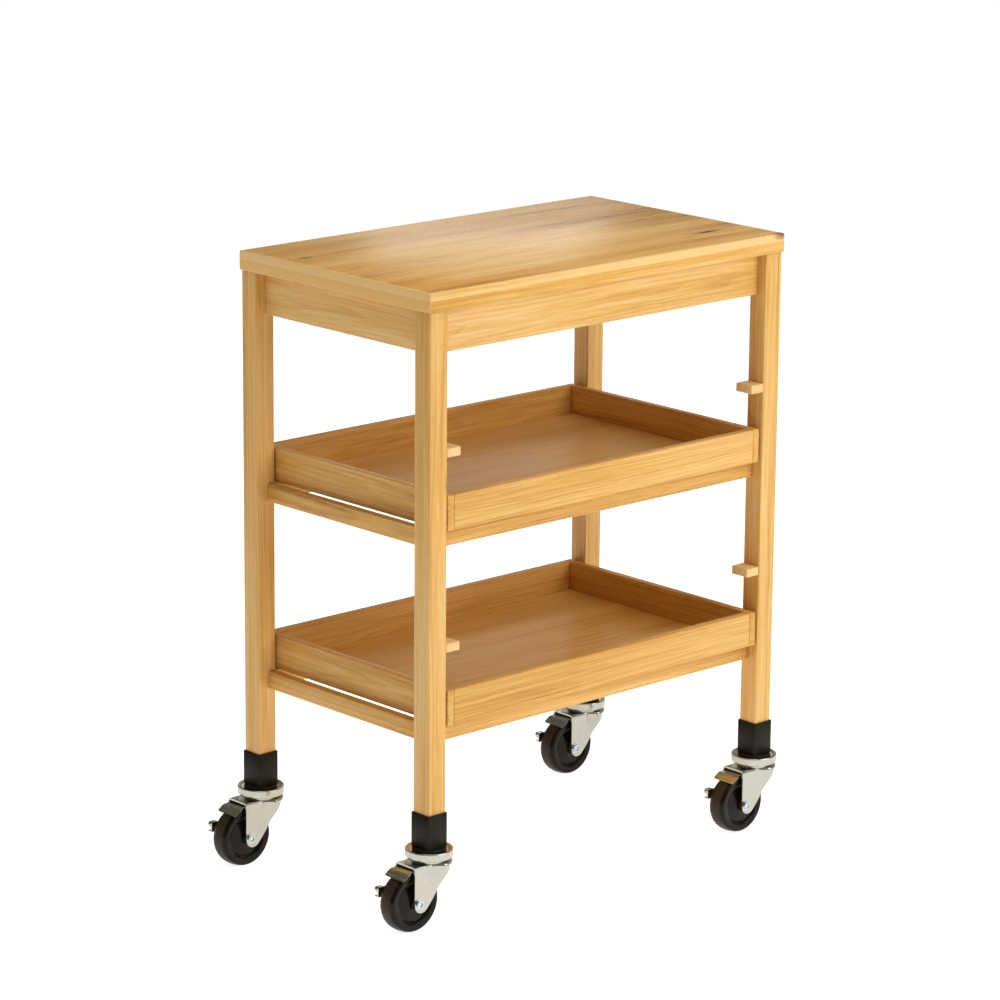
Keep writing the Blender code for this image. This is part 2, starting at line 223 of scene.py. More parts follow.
def late_wood(t, radius, ring_gap):
    """How strongly each point is in its year's dark late wood, and the share of the year it stands for."""
    year = t.math("DIVIDE", radius, ring_gap)
    part = t.math("FRACT", year)
    late = t.math("MULTIPLY", t.span(part, *LATE_RISE), t.span(part, *LATE_FALL))
    year_seed = t.add("ShaderNodeTexWhiteNoise", noise_dimensions="1D")
    t.put(year_seed.inputs["W"], t.math("FLOOR", year))
    weight = t.span(year_seed.outputs["Value"], 0.0, 1.0, WEAKEST_YEAR, 1.0, smooth=False)
    return t.math("MULTIPLY", late, weight), part


def top_zones(t, place, value, broad, fibre):
    """Darker heartwood with painted shade at the back right, painted shade at the left end, calm end grain,
    and a paler band round the upper edges.
    """
    split = t.add("ShaderNodeSeparateXYZ")
    t.put(split.inputs[0], t.vector("SUBTRACT", place, (TOP_MIDDLE_X, 0.0, 0.0)))
    x, y, z = (split.outputs[axis] for axis in "XYZ")
    # the back right made darker: heartwood, with painted shade where the sheen falls off
    heart_and_shade = t.math("MULTIPLY_ADD", x, HEART_SHADE_SLANT[0], t.math("MULTIPLY", y, HEART_SHADE_SLANT[1]))
    heart_and_shade = t.math("MULTIPLY_ADD", broad, HEART_SHADE_STRAY, heart_and_shade)
    value = t.math("MULTIPLY_ADD", t.span(heart_and_shade, *HEART_SHADE_EDGE), HEART_SHADE_DARK, value)
    # painted shade: the left end made darker, where the sheen falls off
    left = t.math("MULTIPLY_ADD", broad, LEFT_SHADE_STRAY, t.math("MULTIPLY", x, -1.0))
    value = t.math("MULTIPLY_ADD", t.span(left, *LEFT_SHADE_EDGE), LEFT_SHADE_DARK, value)

    end = t.span(t.math("ABSOLUTE", x), *(TOP_HALF_X - depth for depth in END_DEPTH))
    calm = t.math("MULTIPLY", t.math("MULTIPLY_ADD", fibre, END_FIBRE, END_VALUE), end)
    value = t.math("ADD", t.math("MULTIPLY", value, t.math("SUBTRACT", 1.0, end)), calm)

    from_left, from_right = t.math("ADD", x, TOP_HALF_X), t.math("SUBTRACT", TOP_HALF_X, x)
    from_front, from_back = t.math("SUBTRACT", y, TOP_LOW.y), t.math("SUBTRACT", TOP_HIGH.y, y)
    edge = t.math("MINIMUM", from_left, from_front)
    edge = t.math("MINIMUM", edge, t.math("MINIMUM", from_right, from_back))
    # a paler band round the top's upper edges, within a few millimetres of each edge
    upper = t.span(z, PALE_BAND_Z - PALE_BAND_SOFT, PALE_BAND_Z + PALE_BAND_SOFT)
    pale_band = t.math("MULTIPLY", upper, t.span(edge, PALE_BAND_WIDE, PALE_BAND_FULL))
    return t.math("MULTIPLY_ADD", pale_band, PALE_BAND_SHIFT, value)


def wood(name, ring_gap, ring_share, figure=FRAME_FIGURE, tint=None, knots=(), zones=None):
    """Solid timber: growth rings round a pith line, fibres, pores and knots.

    The attribute wood_at holds each point's place in its log, with the grain and the pith along X. The
    second attribute makes a whole board lighter or darker: the wood's own tone, and on the left apron and
    the tray floors painted light that offsets their shade.
    """
    t = Tree(name)
    log = t.attribute("wood_at").outputs["Vector"]
    tone_and_painted_light = t.attribute("tone_and_painted_light").outputs["Fac"]
    place = t.object_place()

    wander = t.grain(log, WANDER, 2.0, 0.45)
    ripple = t.grain(log, RIPPLE, 2.0, 0.5)
    radius = t.vector("LENGTH", t.vector("MULTIPLY", log, (0.0, 1.0, 1.0)))
    radius = t.math("MULTIPLY_ADD", wander, WANDER_SWAY, radius)
    radius = t.math("MULTIPLY_ADD", ripple, RIPPLE_SWAY, radius)
    radius, dark = bend_round_knots(t, place, ripple, radius, knots)
    late, part = late_wood(t, radius, ring_gap)

    broad = t.grain(log, BROAD, 3.0, 0.5)
    streak = t.grain(log, STREAK, 3.0, 0.6)
    fibre = t.grain(log, FIBRE, 3.0, 0.65)
    pore = t.grain(log, PORE, 1.0, 0.5)
    pore = t.math("MULTIPLY", t.span(pore, *PORE_CUT), t.span(part, *PORE_SEASON))

    middle = (figure.broad + figure.streak + figure.fibre) / 2 - figure.centre
    # the board's own tone, with painted light on the boards that stand in shade
    value = t.math("MULTIPLY_ADD", late, ring_share, t.math("SUBTRACT", tone_and_painted_light, middle))
    layers = (broad, streak, fibre, pore)
    for layer, share in zip(layers, (figure.broad, figure.streak, figure.fibre, PORE_DARK)):
        value = t.math("MULTIPLY_ADD", layer, share, value)
    if zones:
        value = zones(t, place, value, broad, fibre)

    colour = t.ramp(value, WOOD_STOPS)
    if dark is not None:
        colour = t.mix(t.math("MINIMUM", dark, 1.0), colour, (*BROWN, 1.0))
        colour = t.mix(t.span(dark, 0.80, 1.0), colour, (*KNOT, 1.0))
    if tint:
        colour = t.mix(1.0, colour, (*tint, 1.0), "MULTIPLY")
    rough = t.math("MULTIPLY_ADD", fibre, 0.16, t.math("MULTIPLY_ADD", late, -0.05, figure.rough))
    t.surface(base_color=colour, roughness=rough, specular_ior_level=figure.specular)
    height = t.math("MULTIPLY_ADD", pore, -0.9, t.math("MULTIPLY_ADD", fibre, 0.5, late))
    t.bump(height, 0.16, 0.00025)
    return t.material


# ---------------------------------------------------------------- metal, coating and rubber
def zinc(name, colour, roughness):
    """Plated steel with slightly warm and cool patches and duller spots."""
    t = Tree(name)
    place = t.object_place()
    cloud = t.noise(place, 60.0, 3.0, 0.55)
    grainy = t.noise(place, 900.0, 2.0, 0.6)
    patch = t.noise(place, 210.0, 2.0, 0.5)
    warm = tuple(c * k for c, k in zip(colour, (1.0, 0.975, 0.90)))
    cool = tuple(c * k for c, k in zip(colour, (0.93, 0.97, 1.0)))
    dull = tuple(c * 0.72 for c in colour)
    tint = t.ramp(cloud, ((0.32, warm), (0.50, colour), (0.68, cool)))
    tint = t.mix(t.span(patch, 0.60, 0.80, 0.0, 0.30), tint, (*dull, 1.0))
    rough = t.math("MULTIPLY_ADD", cloud, 0.16, roughness)
    rough = t.math("MULTIPLY_ADD", grainy, 0.08, rough)
    t.surface(base_color=tint, metallic=1.0, roughness=rough)
    t.bump(t.math("MULTIPLY_ADD", cloud, 2.0, grainy), 0.10, 0.0002)
    return t.material


def black_coat():
    """Black powder coat with a fine peel and a little dust."""
    t = Tree("black_powder_coat")
    place = t.object_place()
    peel = t.noise(place, 1300.0, 2.0, 0.5)
    cloud = t.noise(place, 45.0, 3.0, 0.5)
    dust = t.noise(place, 420.0, 2.0, 0.6)
    colour = t.ramp(cloud, ((0.30, (0.0100, 0.0082, 0.0055)), (0.70, (0.0180, 0.0150, 0.0100))))
    colour = t.mix(t.span(dust, 0.66, 0.80, 0.0, 0.35), colour, (0.045, 0.037, 0.026, 1.0))
    rough = t.math("MULTIPLY_ADD", cloud, 0.18, 0.38)
    t.surface(base_color=colour, roughness=rough, specular_ior_level=0.12)
    t.bump(peel, 0.22, 0.0002)
    return t.material


def wheel_rubber():
    """Hard moulded wheel: glossy sides and a dull, dusty tread. The attribute band is 1 on the tread."""
    t = Tree("hard_wheel")
    place = t.object_place()
    band = t.attribute("band").outputs["Fac"]
    cloud = t.noise(place, 55.0, 3.0, 0.55)
    speck = t.noise(place, 700.0, 3.0, 0.65)
    side = t.ramp(cloud, ((0.35, (0.004, 0.0025, 0.0015)), (0.68, (0.013, 0.007, 0.003))))
    tread = t.ramp(speck, ((0.35, (0.020, 0.014, 0.008)), (0.70, (0.050, 0.036, 0.021))))
    rough = t.math("MULTIPLY_ADD", band, 0.34, t.math("MULTIPLY_ADD", cloud, 0.16, 0.06))
    t.surface(base_color=t.mix(band, side, tread), roughness=rough, specular_ior_level=0.15)
    t.bump(t.math("MULTIPLY", speck, t.math("MULTIPLY_ADD", band, 0.9, 0.1)), 0.20, 0.0003)
    return t.material


def pad_plastic():
    t = Tree("pad_plastic")
    place = t.object_place()
    speck = t.noise(place, 1500.0, 2.0, 0.5)
    cloud = t.noise(place, 80.0, 2.0, 0.5)
    colour = t.ramp(cloud, ((0.3, (0.012, 0.011, 0.010)), (0.7, (0.022, 0.020, 0.018))))
    t.surface(base_color=colour, roughness=t.math("MULTIPLY_ADD", speck, 0.2, 0.38))
    t.bump(speck, 0.25, 0.0002)
    return t.material


# ---------------------------------------------------------------- mesh building
def new_piece(name, bm, material, body, nodes=(), smooth_angle=40.0):
    bmesh.ops.recalc_face_normals(bm, faces=bm.faces)
    mesh = bpy.data.meshes.new(name)
    bm.to_mesh(mesh)
    bm.free()
    mesh.shade_smooth()
    mesh.set_sharp_from_angle(angle=math.radians(smooth_angle))
    mesh.materials.append(material)
    obj = bpy.data.objects.new(name, mesh)
    bpy.context.scene.collection.objects.link(obj)
    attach(obj, body)
    if nodes:
        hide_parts(*nodes)
    return obj


def loft(bm, rings):
    """Skins closed rings of points one after another, and caps both ends."""
    made = [[bm.verts.new(p) for p in ring] for ring in rings]
    count = len(made[0])
    for first, second in zip(made, made[1:]):
        for i in range(count):
            j = (i + 1) % count
            bm.faces.new((first[i], first[j], second[j], second[i]))
    bm.faces.new(reversed(made[0]))
    bm.faces.new(made[-1])


def extruded(outline, at, ys):
    """A plate that stands along Y: an (x, z) outline repeated at each y, moved by at."""
    bm = bmesh.new()
    loft(bm, [[Vector((x, y, z)) + at for x, z in outline] for y in ys])
    return bm


def round_point(radius, height, angle, axis):
    a, b = radius * math.cos(angle), radius * math.sin(angle)
    return Vector((a, b, height) if axis == "Z" else (a, height, b))


def turned(profile, steps, axis, centre):
    """Turns (radius, height) points about Z or Y through centre.

    The profile either starts and ends on the axis, or is an outline away from it that closes on itself.
    """
    bm = bmesh.new()
    on_axis = profile[0][0] < 1e-7 and profile[-1][0] < 1e-7
    inner = profile[1:-1] if on_axis else profile
    rings = []
    for i in range(steps):
        angle = 2 * math.pi * i / steps
        rings.append([bm.verts.new(round_point(r, h, angle, axis) + centre) for r, h in inner])
    count = len(inner)
    for i in range(steps):
        first, second = rings[i], rings[(i + 1) % steps]
        for j in range(count - 1 if on_axis else count):
            k = (j + 1) % count
            bm.faces.new((first[j], first[k], second[k], second[j]))
    if on_axis:
        for end, index in ((profile[0], 0), (profile[-1], -1)):
            tip = bm.verts.new(round_point(0.0, end[1], 0.0, axis) + centre)
            for i in range(steps):
                bm.faces.new((tip, rings[i][index], rings[(i + 1) % steps][index]))
    return bm


def rounded(points, radius, steps=4):
    """Rounds the corners of an open run of 2-D points."""
    out = [points[0]]
    for before, corner, after in zip(points, points[1:], points[2:]):
        a, c, b = Vector(before), Vector(corner), Vector(after)
        u, v = a - c, b - c
        r = min(radius, 0.45 * u.length, 0.45 * v.length)
        start, end = c + u.normalized() * r, c + v.normalized() * r
        for k in range(steps + 1):
            s = k / steps
            p = start * (1 - s) ** 2 + c * 2 * s * (1 - s) + end * s * s
            out.append((p.x, p.y))
    return out + [points[-1]]


def smooth_step(value, low, high):
    s = min(max((value - low) / (high - low), 0.0), 1.0)
    return s * s * (3 - 2 * s)


# ---------------------------------------------------------------- boards
BOARD_SEED = 41
BOARD_EASE = 0.0013  # the rounding of a board's edges

# how the boards in full view are sawn: the cut, the pith's distance, and the grain's tilt in radians
SAWN = {
    "worktop": ("plain", 0.085, 0.012),
    "apron_front": ("plain", 0.030, 0.022),
    "apron_left": ("plain", 0.040, 0.020),
}
FLAT_BOARD = 0.7  # thickness over width, under which a board may be plain sawn
PITH_FAR, TILT = (0.045, 0.11), (0.004, 0.014)  # the same for the other boards, drawn between these
TURN_SPREAD, SKEW_SPREAD, ALONG_SPREAD = 12, 0.6, 6.0
RIFT_TURNS = (50, 62, 118)  # degrees from plain sawn to the cuts with straight grain on the wide side

# how much darker than the middle each family of boards is, and what single boards add to that; the left apron
# and the tray floors are made lighter as painted light that offsets their shade
TONE = {"leg": -0.06, "apron": -0.02, "rail": 0.06, "tray": 0.02, "stop": -0.44, "worktop": 0.0}
PAINTED_LIGHT_TONE = {"apron_left": -0.12, "upper_tray_floor": -0.24, "lower_tray_floor": -0.10}
TONE_SPREAD = 0.045


def grain_axis(node, size):
    """The grain runs along the longest side, and in the short stops along X."""
    if node.startswith("tray_stop"):
        return 0
    return max(range(3), key=lambda axis: size[axis])


def log_place(node, flat, rng):
    """Where a board lies in its log: the pith's offset, the tilt as a matrix, and a place along the log."""
    if node in SAWN:
        cut, far, tilt = SAWN[node]
    else:
        cut = rng.choice(("rift", "rift", "plain")) if flat else "rift"
        far = rng.uniform(*PITH_FAR)
        tilt = rng.uniform(*TILT)
    turn = rng.uniform(-TURN_SPREAD, TURN_SPREAD) + (0 if cut == "plain" else rng.choice(RIFT_TURNS))
    turn = math.radians(turn)
    offset = Vector((0.0, far * math.sin(turn), far * math.cos(turn)))
    lean = Matrix.Rotation(tilt * rng.choice((-1, 1)), 3, "Y")
    lean = lean @ Matrix.Rotation(tilt * rng.uniform(-SKEW_SPREAD, SKEW_SPREAD), 3, "Z")
    return offset, lean, rng.uniform(-ALONG_SPREAD, ALONG_SPREAD)


def board_family(node):
    if "stop" in node:
        return "stop"
    if "_tray_" in node:
        return "tray"
    return node.split("_")[0]


def board(node, material, rng):
    """One eased board over a CAD node's box, with its place in the log kept on its points."""
    low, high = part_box(node)
    size, middle = high - low, (low + high) / 2
    bm = bmesh.new()
    bmesh.ops.create_cube(bm, size=1.0)
    for vert in bm.verts:
        vert.co = Vector(vert.co[a] * size[a] for a in range(3)) + middle
    bmesh.ops.bevel(bm, geom=list(bm.edges), offset=BOARD_EASE, segments=3, profile=0.5, affect="EDGES")

    grain = grain_axis(node, size)
    across = [a for a in range(3) if a != grain]
    thin = min(across, key=lambda a: size[a])
    wide = [a for a in across if a != thin][0]
    offset, lean, along = log_place(node, size[thin] < FLAT_BOARD * size[wide], rng)

    mesh = new_piece(f"{node}_board", bm, material, BODY_OF[node], [node]).data
    mesh.attributes.new("wood_at", "FLOAT_VECTOR", "POINT")
    mesh.attributes.new("tone_and_painted_light", "FLOAT", "POINT")
    wood_at, tone_and_painted_light = mesh.attributes["wood_at"], mesh.attributes["tone_and_painted_light"]
    # the family's tone and random spread, plus painted light that lightens the left apron and the tray floors
    shade = TONE[board_family(node)] + PAINTED_LIGHT_TONE.get(node, 0.0) + rng.uniform(-TONE_SPREAD, TONE_SPREAD)
    for vert in mesh.vertices:
        p = vert.co - middle
        place = lean @ Vector((p[grain], p[wide], p[thin])) + offset
        wood_at.data[vert.index].vector = place + Vector((along, 0.0, 0.0))
        tone_and_painted_light.data[vert.index].value = shade


def make_boards():
    rng = random.Random(BOARD_SEED)
    timber = {
        "leg_wood": wood("cart_oak", ring_gap=0.0042, ring_share=0.20, knots=LEG_KNOTS),
        "tray_wood": wood("tray_oak", ring_gap=0.0036, ring_share=0.24, tint=WARM_TINT),
        "top_wood": wood("worktop_oak", ring_gap=0.0050, ring_share=0.15, figure=TOP_FIGURE, tint=WARM_TINT,
                         knots=TOP_KNOTS, zones=top_zones),
    }
    for node, slot in SLOT_OF.items():
        if slot in timber:
            board(node, timber[slot], rng)


# ---------------------------------------------------------------- casters
# Heights are over the floor, and an x is from the swivel's axis, with the wheel trailing to -X. The wheel and
# the bolt are drawn round the axle.
ROUND_STEPS, COLLAR_STEPS, RIVET_STEPS = 96, 64, 32

WHEEL_R = 0.0445
TREAD_EDGE = 0.0437  # beyond this radius the wheel is tread
RACE_R = 0.0345
CROWN_R, FORK_END = RACE_R - 0.0010, RACE_R - 0.0030  # the fork's round under the race, and its front end
DECK_TOP = 0.0990
STEEL_T = 0.0024
FORK_HALF = 0.0210
FORK_BEND = 0.0042
EYE_R, EYE_X, EYE_Z = 0.0130, -0.0318, 0.0430  # round lower end of the cheeks
EYE_TURN = math.radians(43)
CHEEK_RISE, CHEEK_CURL = 1.05, 517.0
SWELL_X, SWELL_Z, SWELL_FRONT = (-0.018, 0.006), (0.058, 0.092), (0.010, 0.024)  # where the cheeks widen
MARK_X, MARK_Z, MARK_R, MARK_DEEP = -0.0305, 0.0640, 0.0024, 0.0007  # press mark on the cheeks
EYE_STEPS, DECK_RUN_STEPS = 10, 34
FACE_STEPS, BEND_STEPS, DECK_STEPS = 14, 5, 4

SLEEVE_HALF, SLEEVE_BASE, SLEEVE_FLOOR = 0.0182, 0.1170, 0.1199
LEG_GAP = 0.0002

NUT_FACE, NUT_STEPS = 0.0213, 48

SHOE_R, SHOE_Z, SHOE_T = 0.0357, 0.0573, 0.0018
SHOE_START, SHOE_SWEEP, SHOE_STEPS = 90, 47, 30
SHOE_HALF, SHOE_FLARE, SHOE_LIFT = 0.0180, 0.0030, 0.0009
FLARE_SPAN, LIFT_SPAN, TAPER_SPAN = (0.42, 0.52), (0.82, 0.96), (0.90, 1.0)  # shares of the shoe's length

LEVER_X, LEVER_Z, LEVER_Y, LEVER_T = -0.0370, 0.0640, 0.0213, 0.0020
LEVER_EYE_R, LEVER_EASE = 0.0075, 0.0003


def cheek_bottom(x):
    """The cheek's lower outline: round under the axle, then a curve that rises to the deck."""
    turn_x = EYE_X + EYE_R * math.sin(EYE_TURN)
    if x <= turn_x:
        return EYE_Z - math.sqrt(max(EYE_R**2 - (x - EYE_X) ** 2, 0.0))
    past = x - turn_x
    rising = EYE_Z - EYE_R * math.cos(EYE_TURN) + CHEEK_RISE * past + CHEEK_CURL * past**3
    return min(rising, DECK_TOP - 2 * STEEL_T)


def cheek_half(x, z):
    """Half the fork's width: flat cheeks that swell to the race's round towards +X and the top."""
    crown = math.sqrt(max(CROWN_R**2 - x * x, 0.0))
    share = smooth_step(x, *SWELL_X) * smooth_step(z, *SWELL_Z)
    if x > 0.0:
        share = max(share, smooth_step(x, *SWELL_FRONT))
        return FORK_HALF + (crown - FORK_HALF) * share
    return FORK_HALF + max(crown - FORK_HALF, 0.0) * share


def fork_section(x, inset):
    """The fork's section at x, from one cheek's foot over the deck to the other's, moved in by inset."""
    low, high = cheek_bottom(x), DECK_TOP - inset
    bend = FORK_BEND - inset
    points = []
    for i in range(FACE_STEPS + 1):
        z = low + (high - bend - low) * i / FACE_STEPS
        half = cheek_half(x, z) - inset
        dent = MARK_DEEP * math.exp(-(((x - MARK_X) ** 2 + (z - MARK_Z) ** 2) / MARK_R**2))
        points.append((x, -(half + dent), z))
    half = cheek_half(x, high - bend) - inset
    for k in range(1, BEND_STEPS + 1):
        a = math.pi / 2 * k / BEND_STEPS
        points.append((x, -(half - bend * (1 - math.cos(a))), high - bend + bend * math.sin(a)))
    for k in range(1, DECK_STEPS):
        points.append((x, -(half - bend) * (1 - k / DECK_STEPS), high))
    return points + [(x, 0.0, high)] + [(a, -b, c) for a, b, c in reversed(points)]


def make_fork(corner, at, steel):
    turns = [math.pi / 2 * k / EYE_STEPS for k in range(EYE_STEPS)]
    xs = [EYE_X - EYE_R + 1e-5 + EYE_R * (1 - math.cos(a)) for a in turns]
    first = xs[-1]
    xs += [first + (FORK_END - first) * k / DECK_RUN_STEPS for k in range(1, DECK_RUN_STEPS + 1)]
    bm = bmesh.new()
    loft(bm, [[Vector(p) + at for p in fork_section(x, 0.0) + fork_section(x, STEEL_T)[::-1]] for x in xs])
    sharp = [e for e in bm.edges if e.calc_face_angle(0.0) > 1.1]
    bmesh.ops.bevel(bm, geom=sharp, offset=0.0005, segments=2, profile=0.6, affect="EDGES")
    body = f"fork_{corner}"
    new_piece(body, bm, steel, body, [f"caster_fork_{corner}"], 30)
    lower = rounded([
        (0.0, 0.0983), (0.0262, 0.0983), (0.0262, 0.1010), (0.0250, 0.1022), (0.0, 0.1022)],
        0.0008)
    new_piece(f"lower_race_{corner}", turned(lower, COLLAR_STEPS, "Z", at), steel, body)


def make_upper_race(corner, at, steel):
    """The king pin's head and neck, the dished race and its rolled rim, turned as one."""
    profile = rounded([
        (0.0, 0.0925), (0.0092, 0.0925), (0.0100, 0.0935), (0.0100, 0.0960), (0.0060, 0.0963),
        (0.0060, 0.1040), (0.0296, 0.1040), (0.0310, 0.1030), (0.0333, 0.1030), (0.0345, 0.1041),
        (0.0345, 0.1141), (0.0337, 0.1152), (0.0318, 0.1152), (0.0304, 0.1146), (0.0282, 0.1128),
        (0.0262, 0.1125), (0.0, 0.1125)],
        0.0007)
    name, node = f"upper_race_{corner}", f"caster_race_{corner}"
    new_piece(name, turned(profile, ROUND_STEPS, "Z", at), steel, "frame", [node])


def square_ring(half, radius, z, at):
    """A level square with round corners."""
    ring = []
    for quarter, (cx, cy) in enumerate(((1, 1), (-1, 1), (-1, -1), (1, -1))):
        for k in range(5):
            a = math.pi / 2 * (quarter + k / 4)
            x = cx * (half - radius) + radius * math.cos(a)
            y = cy * (half - radius) + radius * math.sin(a)
            ring.append(Vector((x, y, z)) + at)
    return ring


def make_sleeve(corner, at, coat):
    """The square sleeve over the leg's foot, open at the top, and its round collar."""
    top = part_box(f"caster_sleeve_{corner}")[1].z
    leg_low, leg_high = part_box(f"leg_{corner}")
    inner = (leg_high.x - leg_low.x) / 2 + LEG_GAP
    squares = (
        (SLEEVE_HALF - 0.0006, 0.0014, SLEEVE_BASE),
        (SLEEVE_HALF, 0.0018, SLEEVE_BASE + 0.0006),
        (SLEEVE_HALF, 0.0018, top - 0.0005),
        (SLEEVE_HALF - 0.0005, 0.0014, top),
        (inner + 0.0003, 0.0008, top),
        (inner, 0.0007, top - 0.0004),
        (inner, 0.0007, SLEEVE_FLOOR),
    )
    bm = bmesh.new()
    loft(bm, [square_ring(half, radius, z, at) for half, radius, z in squares])
    new_piece(f"sleeve_{corner}", bm, coat, "frame", [f"caster_sleeve_{corner}"], 50)
    collar = rounded([
        (0.0, 0.1127), (0.0245, 0.1127), (0.0245, 0.1155), (0.0232, 0.1169), (0.0, 0.1169)],
        0.0008)
    new_piece(f"collar_{corner}", turned(collar, COLLAR_STEPS, "Z", at), coat, "frame")


def make_wheel(corner, axle, rubber):
    """Hub, dished web, rim and crowned tread, as (radius, y) from the hub's bore to the tread's middle."""
    side = rounded([
        (0.0043, 0.0183), (0.0088, 0.0183), (0.0102, 0.0116), (0.0278, 0.0090), (0.0308, 0.0121),
        (0.0322, 0.0136), (0.0392, 0.0145), (0.0415, 0.0139), (0.0428, 0.0122), (0.0435, 0.0095)],
        0.0012, 3)
    side += [(0.0440, 0.0080), (0.0444, 0.0040)]
    profile = side + [(WHEEL_R, 0.0)] + [(r, -y) for r, y in reversed(side)]
    bm = turned(profile, ROUND_STEPS, "Y", axle)
    body, node = f"wheel_body_{corner}", f"wheel_{corner}"
    mesh = new_piece(f"{node}_turned", bm, rubber, body, [node], 38).data
    band = mesh.attributes.new("band", "FLOAT", "POINT")
    for vert in mesh.vertices:
        p = vert.co - axle
        band.data[vert.index].value = 1.0 if math.hypot(p.x, p.z) > TREAD_EDGE else 0.0


def nut_ring(radius, y, hexed, axle):
    """A ring about the axle: a circle where hexed is 0, a hexagon where it is 1."""
    ring = []
    for i in range(NUT_STEPS):
        a = 2 * math.pi * i / NUT_STEPS
        flat = radius * math.cos(math.pi / 6) / math.cos((a % (math.pi / 3)) - math.pi / 6)
        r = radius + (flat - radius) * hexed
        ring.append(Vector((r * math.cos(a), y, r * math.sin(a))) + axle)
    return ring


def make_bolt(corner, axle, steel):
    """Axle bolt: hex head at the back, washer and lock nut with the bolt's end in its recess in front.

    The rows are radius, distance out from NUT_FACE, and how hexagonal.
    """
    flange = [(0.0076, 0.0, 0), (0.0076, 0.0006, 0), (0.0066, 0.0007, 0)]
    flats = [(0.0066, 0.0008, 1), (0.0066, 0.0029, 1), (0.0058, 0.0035, 0)]
    recess = [(0.0045, 0.0035, 0), (0.0042, 0.0016, 0), (0.0030, 0.0016, 0), (0.0024, 0.0026, 0)]
    crown = [(0.0038, 0.0035, 0)]
    bm = bmesh.new()
    for side, end in ((-1, recess), (1, crown)):
        rows = flange + flats + end
        loft(bm, [nut_ring(radius, side * (NUT_FACE + out), hexed, axle) for radius, out, hexed in rows])
    new_piece(f"bolt_{corner}", bm, steel, f"fork_{corner}", [f"axle_bolt_{corner}"], 30)


def make_shoe(corner, axle, steel):
    """A curved plate over the tread, wider from its middle on, with its lower end lifted off the wheel."""
    middle = Vector((axle.x, axle.y, SHOE_Z))
    rings = []
    for i in range(SHOE_STEPS + 1):
        s = i / SHOE_STEPS
        a = math.radians(SHOE_START + SHOE_SWEEP * s)
        inner = SHOE_R + SHOE_LIFT * smooth_step(s, *LIFT_SPAN)
        outer = inner + SHOE_T
        half = SHOE_HALF + SHOE_FLARE * smooth_step(s, *FLARE_SPAN)
        half -= SHOE_FLARE * smooth_step(s, *TAPER_SPAN) ** 2
        section = [(inner, -half), (inner, half), (outer, half), (outer, -half), (inner, -half)]
        section = rounded(section, 0.0004, 2)[1:-1]
        rings.append([middle + Vector((r * math.cos(a), y, r * math.sin(a))) for r, y in section])
    bm = bmesh.new()
    loft(bm, rings)
    new_piece(f"shoe_{corner}", bm, steel, f"shoe_{corner}", [f"brake_shoe_{corner}"], 35)


def make_lever_arm(corner, at, steel):
    outline = []
    for k in range(15):
        a = math.radians(-80 + 160 * k / 14)
        outline.append((LEVER_EYE_R * math.cos(a), LEVER_EYE_R * math.sin(a)))
    outline += [(-0.0100, 0.0025), (-0.0390, 0.0024), (-0.0390, -0.0124), (-0.0100, -0.0105)]
    outline = rounded(outline + [outline[0]], 0.0015, 3)[:-1]
    outer = LEVER_Y + LEVER_T
    inner_edge, outer_edge = LEVER_Y + LEVER_EASE, outer - LEVER_EASE
    rings = []
    for y, shrink in ((LEVER_Y, LEVER_EASE), (inner_edge, 0.0), (outer_edge, 0.0), (outer, LEVER_EASE)):
        ring = []
        for x, z in outline:
            k = 1.0 - shrink / max(math.hypot(x, z), 0.002)
            ring.append(Vector((LEVER_X + x * k, y, LEVER_Z + z * k)) + at)
        rings.append(ring)
    bm = bmesh.new()
    loft(bm, rings)
    body = f"lever_{corner}"
    new_piece(body, bm, steel, body, [f"brake_lever_{corner}"], 35)


def make_lever(corner, at, steel, plastic):
    """The brake lever: arm, two toe tabs, the pad between them, and the rivet at its pivot."""
    body = f"lever_{corner}"
    make_lever_arm(corner, at, steel)
    tabs = {
        "upper": [(-0.0764, 0.0602), (-0.0760, 0.0640), (-0.0738, 0.0665), (-0.0640, 0.0665),
                  (-0.0640, 0.0648), (-0.0728, 0.0648), (-0.0743, 0.0632), (-0.0748, 0.0602)],
        "lower": [(-0.0760, 0.0515), (-0.0760, 0.0533), (-0.0660, 0.0533), (-0.0660, 0.0515)],
    }
    for name, points in tabs.items():
        outline = rounded(points + [points[0]], 0.0007, 3)[1:-1]
        tab = extruded(outline, at, (0.0225, 0.0293, 0.0298))
        new_piece(f"lever_tab_{name}_{corner}", tab, steel, body, (), 35)
    outline = rounded([
        (-0.0736, 0.0539), (-0.0640, 0.0539), (-0.0634, 0.0592), (-0.0640, 0.0642), (-0.0730, 0.0642),
        (-0.0742, 0.0600), (-0.0736, 0.0539)],
        0.0012, 3)[1:-1]
    pad = extruded(outline, at, (0.0234, 0.0288, 0.0292))
    new_piece(f"lever_pad_{corner}", pad, plastic, body, (), 35)
    outer = LEVER_Y + LEVER_T
    head = rounded([
        (0.0, outer - 0.0004), (0.0042, outer - 0.0004), (0.0042, outer + 0.0007), (0.0026, outer + 0.0016),
        (0.0, outer + 0.0018)],
        0.0006)
    rivet = turned(head, RIVET_STEPS, "Y", Vector((LEVER_X, 0, LEVER_Z)) + at)
    new_piece(f"lever_rivet_{corner}", rivet, steel, body)


